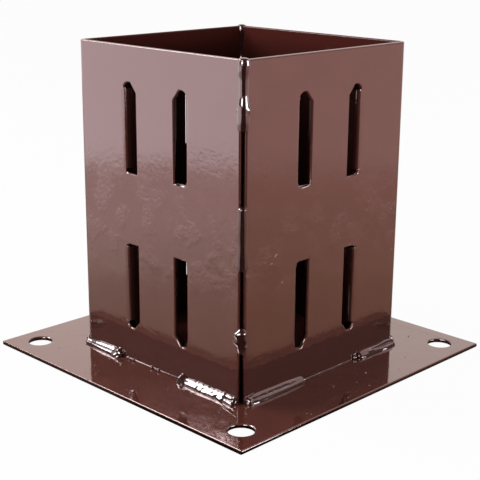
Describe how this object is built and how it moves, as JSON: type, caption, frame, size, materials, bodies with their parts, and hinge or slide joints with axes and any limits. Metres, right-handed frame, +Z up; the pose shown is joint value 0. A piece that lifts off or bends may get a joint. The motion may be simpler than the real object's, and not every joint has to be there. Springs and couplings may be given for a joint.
{
  "type": "timber post base",
  "caption": "Bolt-down base for a square timber post: folded sheet socket with inward grip fins, stitch-welded to a square plate with anchor holes.",
  "frame": {"origin": "centre of the base plate's underside", "axes": "+Z up along the post, X and Y square to the socket's walls and the plate's sides"},
  "size_m": [0.162, 0.162, 0.1467],
  "materials": {
    "plate_enamel": "dipped gloss enamel",
    "socket_enamel": "dipped gloss enamel",
    "weld_enamel": "dipped gloss enamel over weld beads"
  },
  "bodies": {
    "root": {"base_plate": "plate_enamel", "left_back_half": "socket_enamel", "front_right_half": "socket_enamel", "front_left_seam_weld_top": "weld_enamel", "front_left_seam_weld_middle": "weld_enamel", "front_left_seam_weld_tack": "weld_enamel", "back_right_seam_weld_top": "weld_enamel", "back_right_seam_weld_middle": "weld_enamel", "back_right_seam_weld_tack": "weld_enamel", "left_base_weld_seam": "weld_enamel", "left_base_weld_fold": "weld_enamel", "front_base_weld_seam": "weld_enamel", "front_base_weld_fold": "weld_enamel", "right_base_weld_seam": "weld_enamel", "right_base_weld_fold": "weld_enamel", "back_base_weld_seam": "weld_enamel", "back_base_weld_fold": "weld_enamel"}
  },
  "joints": []
}
